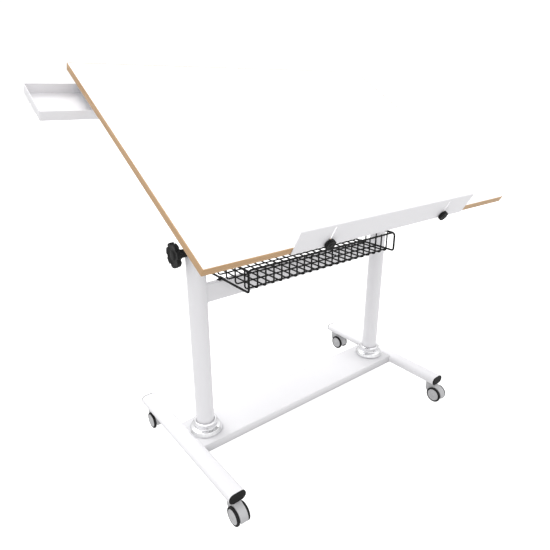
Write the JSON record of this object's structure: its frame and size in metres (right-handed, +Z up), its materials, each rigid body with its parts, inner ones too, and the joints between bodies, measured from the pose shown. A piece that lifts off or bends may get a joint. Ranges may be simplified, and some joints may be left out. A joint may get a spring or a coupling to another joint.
{
  "type": "drafting table",
  "caption": "Drafting table on casters: telescopic columns carry a white tilting board with a clamp-on paper ledge, a slide-out tray and a wire basket.",
  "frame": {"origin": "on the floor, midway between the two columns", "axes": "+X along the table to its right as seen from the front, +Y towards its back, +Z up"},
  "size_m": [1.3304, 0.768, 1.2589],
  "materials": {
    "white_steel": "white powder coat, smooth satin",
    "white_laminate": "white melamine laminate on particle board, satin",
    "beech_edge": "beech-coloured edge band with fine streaks",
    "black_plastic": "moulded, fine texture",
    "black_wire": "black powder coat on wire",
    "chrome": "polished",
    "grey_plastic": "moulded light grey",
    "rubber": "matt polyurethane tread",
    "zinc": "bright zinc plate"
  },
  "bodies": {
    "frame": {"foot_left": "white_steel", "foot_right": "white_steel", "foot_cap_front_left": "black_plastic", "foot_cap_front_right": "black_plastic", "foot_cap_rear_left": "black_plastic", "foot_cap_rear_right": "black_plastic", "base_shelf": "white_steel", "outer_column_left": "white_steel", "outer_column_right": "white_steel", "rosette_left": "chrome", "rosette_right": "chrome", "guide_bush_left": "black_plastic", "guide_bush_right": "black_plastic", "crossbeam": "white_steel", "basket_floor": "black_wire", "basket_wall_front": "black_wire", "basket_wall_rear": "black_wire", "basket_end_left": "black_wire", "basket_end_right": "black_wire", "basket_loop_left": "black_wire", "basket_loop_right": "black_wire", "basket_saddle_left": "black_wire", "basket_saddle_right": "black_wire"},
    "lift": {"inner_column_left": "white_steel", "inner_column_right": "white_steel", "upper_stretcher": "white_steel", "tilt_yoke_left": "white_steel", "tilt_yoke_right": "white_steel", "pivot_nut_left": "zinc", "pivot_nut_right": "zinc"},
    "board": {"board_core": "white_laminate", "edge_band": "beech_edge", "board_arm_left": "white_steel", "board_arm_right": "white_steel", "tray_runner_front": "zinc", "tray_runner_rear": "zinc"},
    "ledge": {"paper_ledge": "white_steel"},
    "tray": {"side_tray": "white_steel"},
    "height_knob_left": {"height_knob_left": "black_plastic"},
    "height_knob_right": {"height_knob_right": "black_plastic"},
    "tilt_knob_left": {"tilt_knob_left": "black_plastic"},
    "tilt_knob_right": {"tilt_knob_right": "black_plastic"},
    "ledge_knob_left": {"ledge_knob_left": "black_plastic"},
    "ledge_knob_right": {"ledge_knob_right": "black_plastic"},
    "caster_front_left": {"caster_hood_front_left": "grey_plastic"},
    "wheels_front_left": {"caster_hubs_front_left": "grey_plastic", "caster_tyre_front_left_a": "rubber", "caster_tyre_front_left_b": "rubber"},
    "caster_front_right": {"caster_hood_front_right": "grey_plastic"},
    "wheels_front_right": {"caster_hubs_front_right": "grey_plastic", "caster_tyre_front_right_a": "rubber", "caster_tyre_front_right_b": "rubber"},
    "caster_rear_left": {"caster_hood_rear_left": "grey_plastic"},
    "wheels_rear_left": {"caster_hubs_rear_left": "grey_plastic", "caster_tyre_rear_left_a": "rubber", "caster_tyre_rear_left_b": "rubber"},
    "caster_rear_right": {"caster_hood_rear_right": "grey_plastic"},
    "wheels_rear_right": {"caster_hubs_rear_right": "grey_plastic", "caster_tyre_rear_right_a": "rubber", "caster_tyre_rear_right_b": "rubber"}
  },
  "joints": [
    {"name": "height_slide", "type": "slide", "parent": "frame", "child": "lift", "axis": [0, 0, 1], "range_m": [-0.1, 0.15]},
    {"name": "board_tilt", "type": "hinge", "parent": "lift", "child": "board", "pos_m": [0, 0, 0.979], "axis": [1, 0, 0], "range_deg": [-30, 30]},
    {"name": "ledge_slide", "type": "slide", "parent": "board", "child": "ledge", "axis": [0, -0.5, 0.866], "range_m": [-0.05, 0]},
    {"name": "tray_slide", "type": "slide", "parent": "board", "child": "tray", "axis": [-1, 0, 0], "range_m": [-0.13, 0.1]},
    {"name": "height_knob_turn_left", "type": "hinge", "parent": "frame", "child": "height_knob_left", "pos_m": [-0.412, 0, 0.743], "axis": [-1, 0, 0], "range_deg": [0, 720]},
    {"name": "height_knob_turn_right", "type": "hinge", "parent": "frame", "child": "height_knob_right", "pos_m": [0.412, 0, 0.743], "axis": [1, 0, 0], "range_deg": [0, 720]},
    {"name": "tilt_knob_turn_left", "type": "hinge", "parent": "lift", "child": "tilt_knob_left", "pos_m": [-0.412, 0, 0.979], "axis": [-1, 0, 0], "range_deg": [0, 540]},
    {"name": "tilt_knob_turn_right", "type": "hinge", "parent": "lift", "child": "tilt_knob_right", "pos_m": [0.412, 0, 0.979], "axis": [1, 0, 0], "range_deg": [0, 540]},
    {"name": "ledge_knob_turn_left", "type": "hinge", "parent": "board", "child": "ledge_knob_left", "pos_m": [-0.24, -0.38264, 0.82875], "axis": [0, -0.866, -0.5], "range_deg": [0, 540]},
    {"name": "ledge_knob_turn_right", "type": "hinge", "parent": "board", "child": "ledge_knob_right", "pos_m": [0.24, -0.38264, 0.82875], "axis": [0, -0.866, -0.5], "range_deg": [0, 540]},
    {"name": "swivel_front_left", "type": "hinge", "parent": "frame", "child": "caster_front_left", "pos_m": [-0.4852, -0.276, 0.073], "axis": [0, 0, 1], "continuous": true},
    {"name": "roll_front_left", "type": "hinge", "parent": "caster_front_left", "child": "wheels_front_left", "pos_m": [-0.4852, -0.306, 0.03], "axis": [1, 0, 0], "continuous": true},
    {"name": "swivel_front_right", "type": "hinge", "parent": "frame", "child": "caster_front_right", "pos_m": [0.4852, -0.276, 0.073], "axis": [0, 0, 1], "continuous": true},
    {"name": "roll_front_right", "type": "hinge", "parent": "caster_front_right", "child": "wheels_front_right", "pos_m": [0.4852, -0.306, 0.03], "axis": [1, 0, 0], "continuous": true},
    {"name": "swivel_rear_left", "type": "hinge", "parent": "frame", "child": "caster_rear_left", "pos_m": [-0.4852, 0.276, 0.073], "axis": [0, 0, 1], "continuous": true},
    {"name": "roll_rear_left", "type": "hinge", "parent": "caster_rear_left", "child": "wheels_rear_left", "pos_m": [-0.4852, 0.246, 0.03], "axis": [1, 0, 0], "continuous": true},
    {"name": "swivel_rear_right", "type": "hinge", "parent": "frame", "child": "caster_rear_right", "pos_m": [0.4852, 0.276, 0.073], "axis": [0, 0, 1], "continuous": true},
    {"name": "roll_rear_right", "type": "hinge", "parent": "caster_rear_right", "child": "wheels_rear_right", "pos_m": [0.4852, 0.246, 0.03], "axis": [1, 0, 0], "continuous": true}
  ]
}
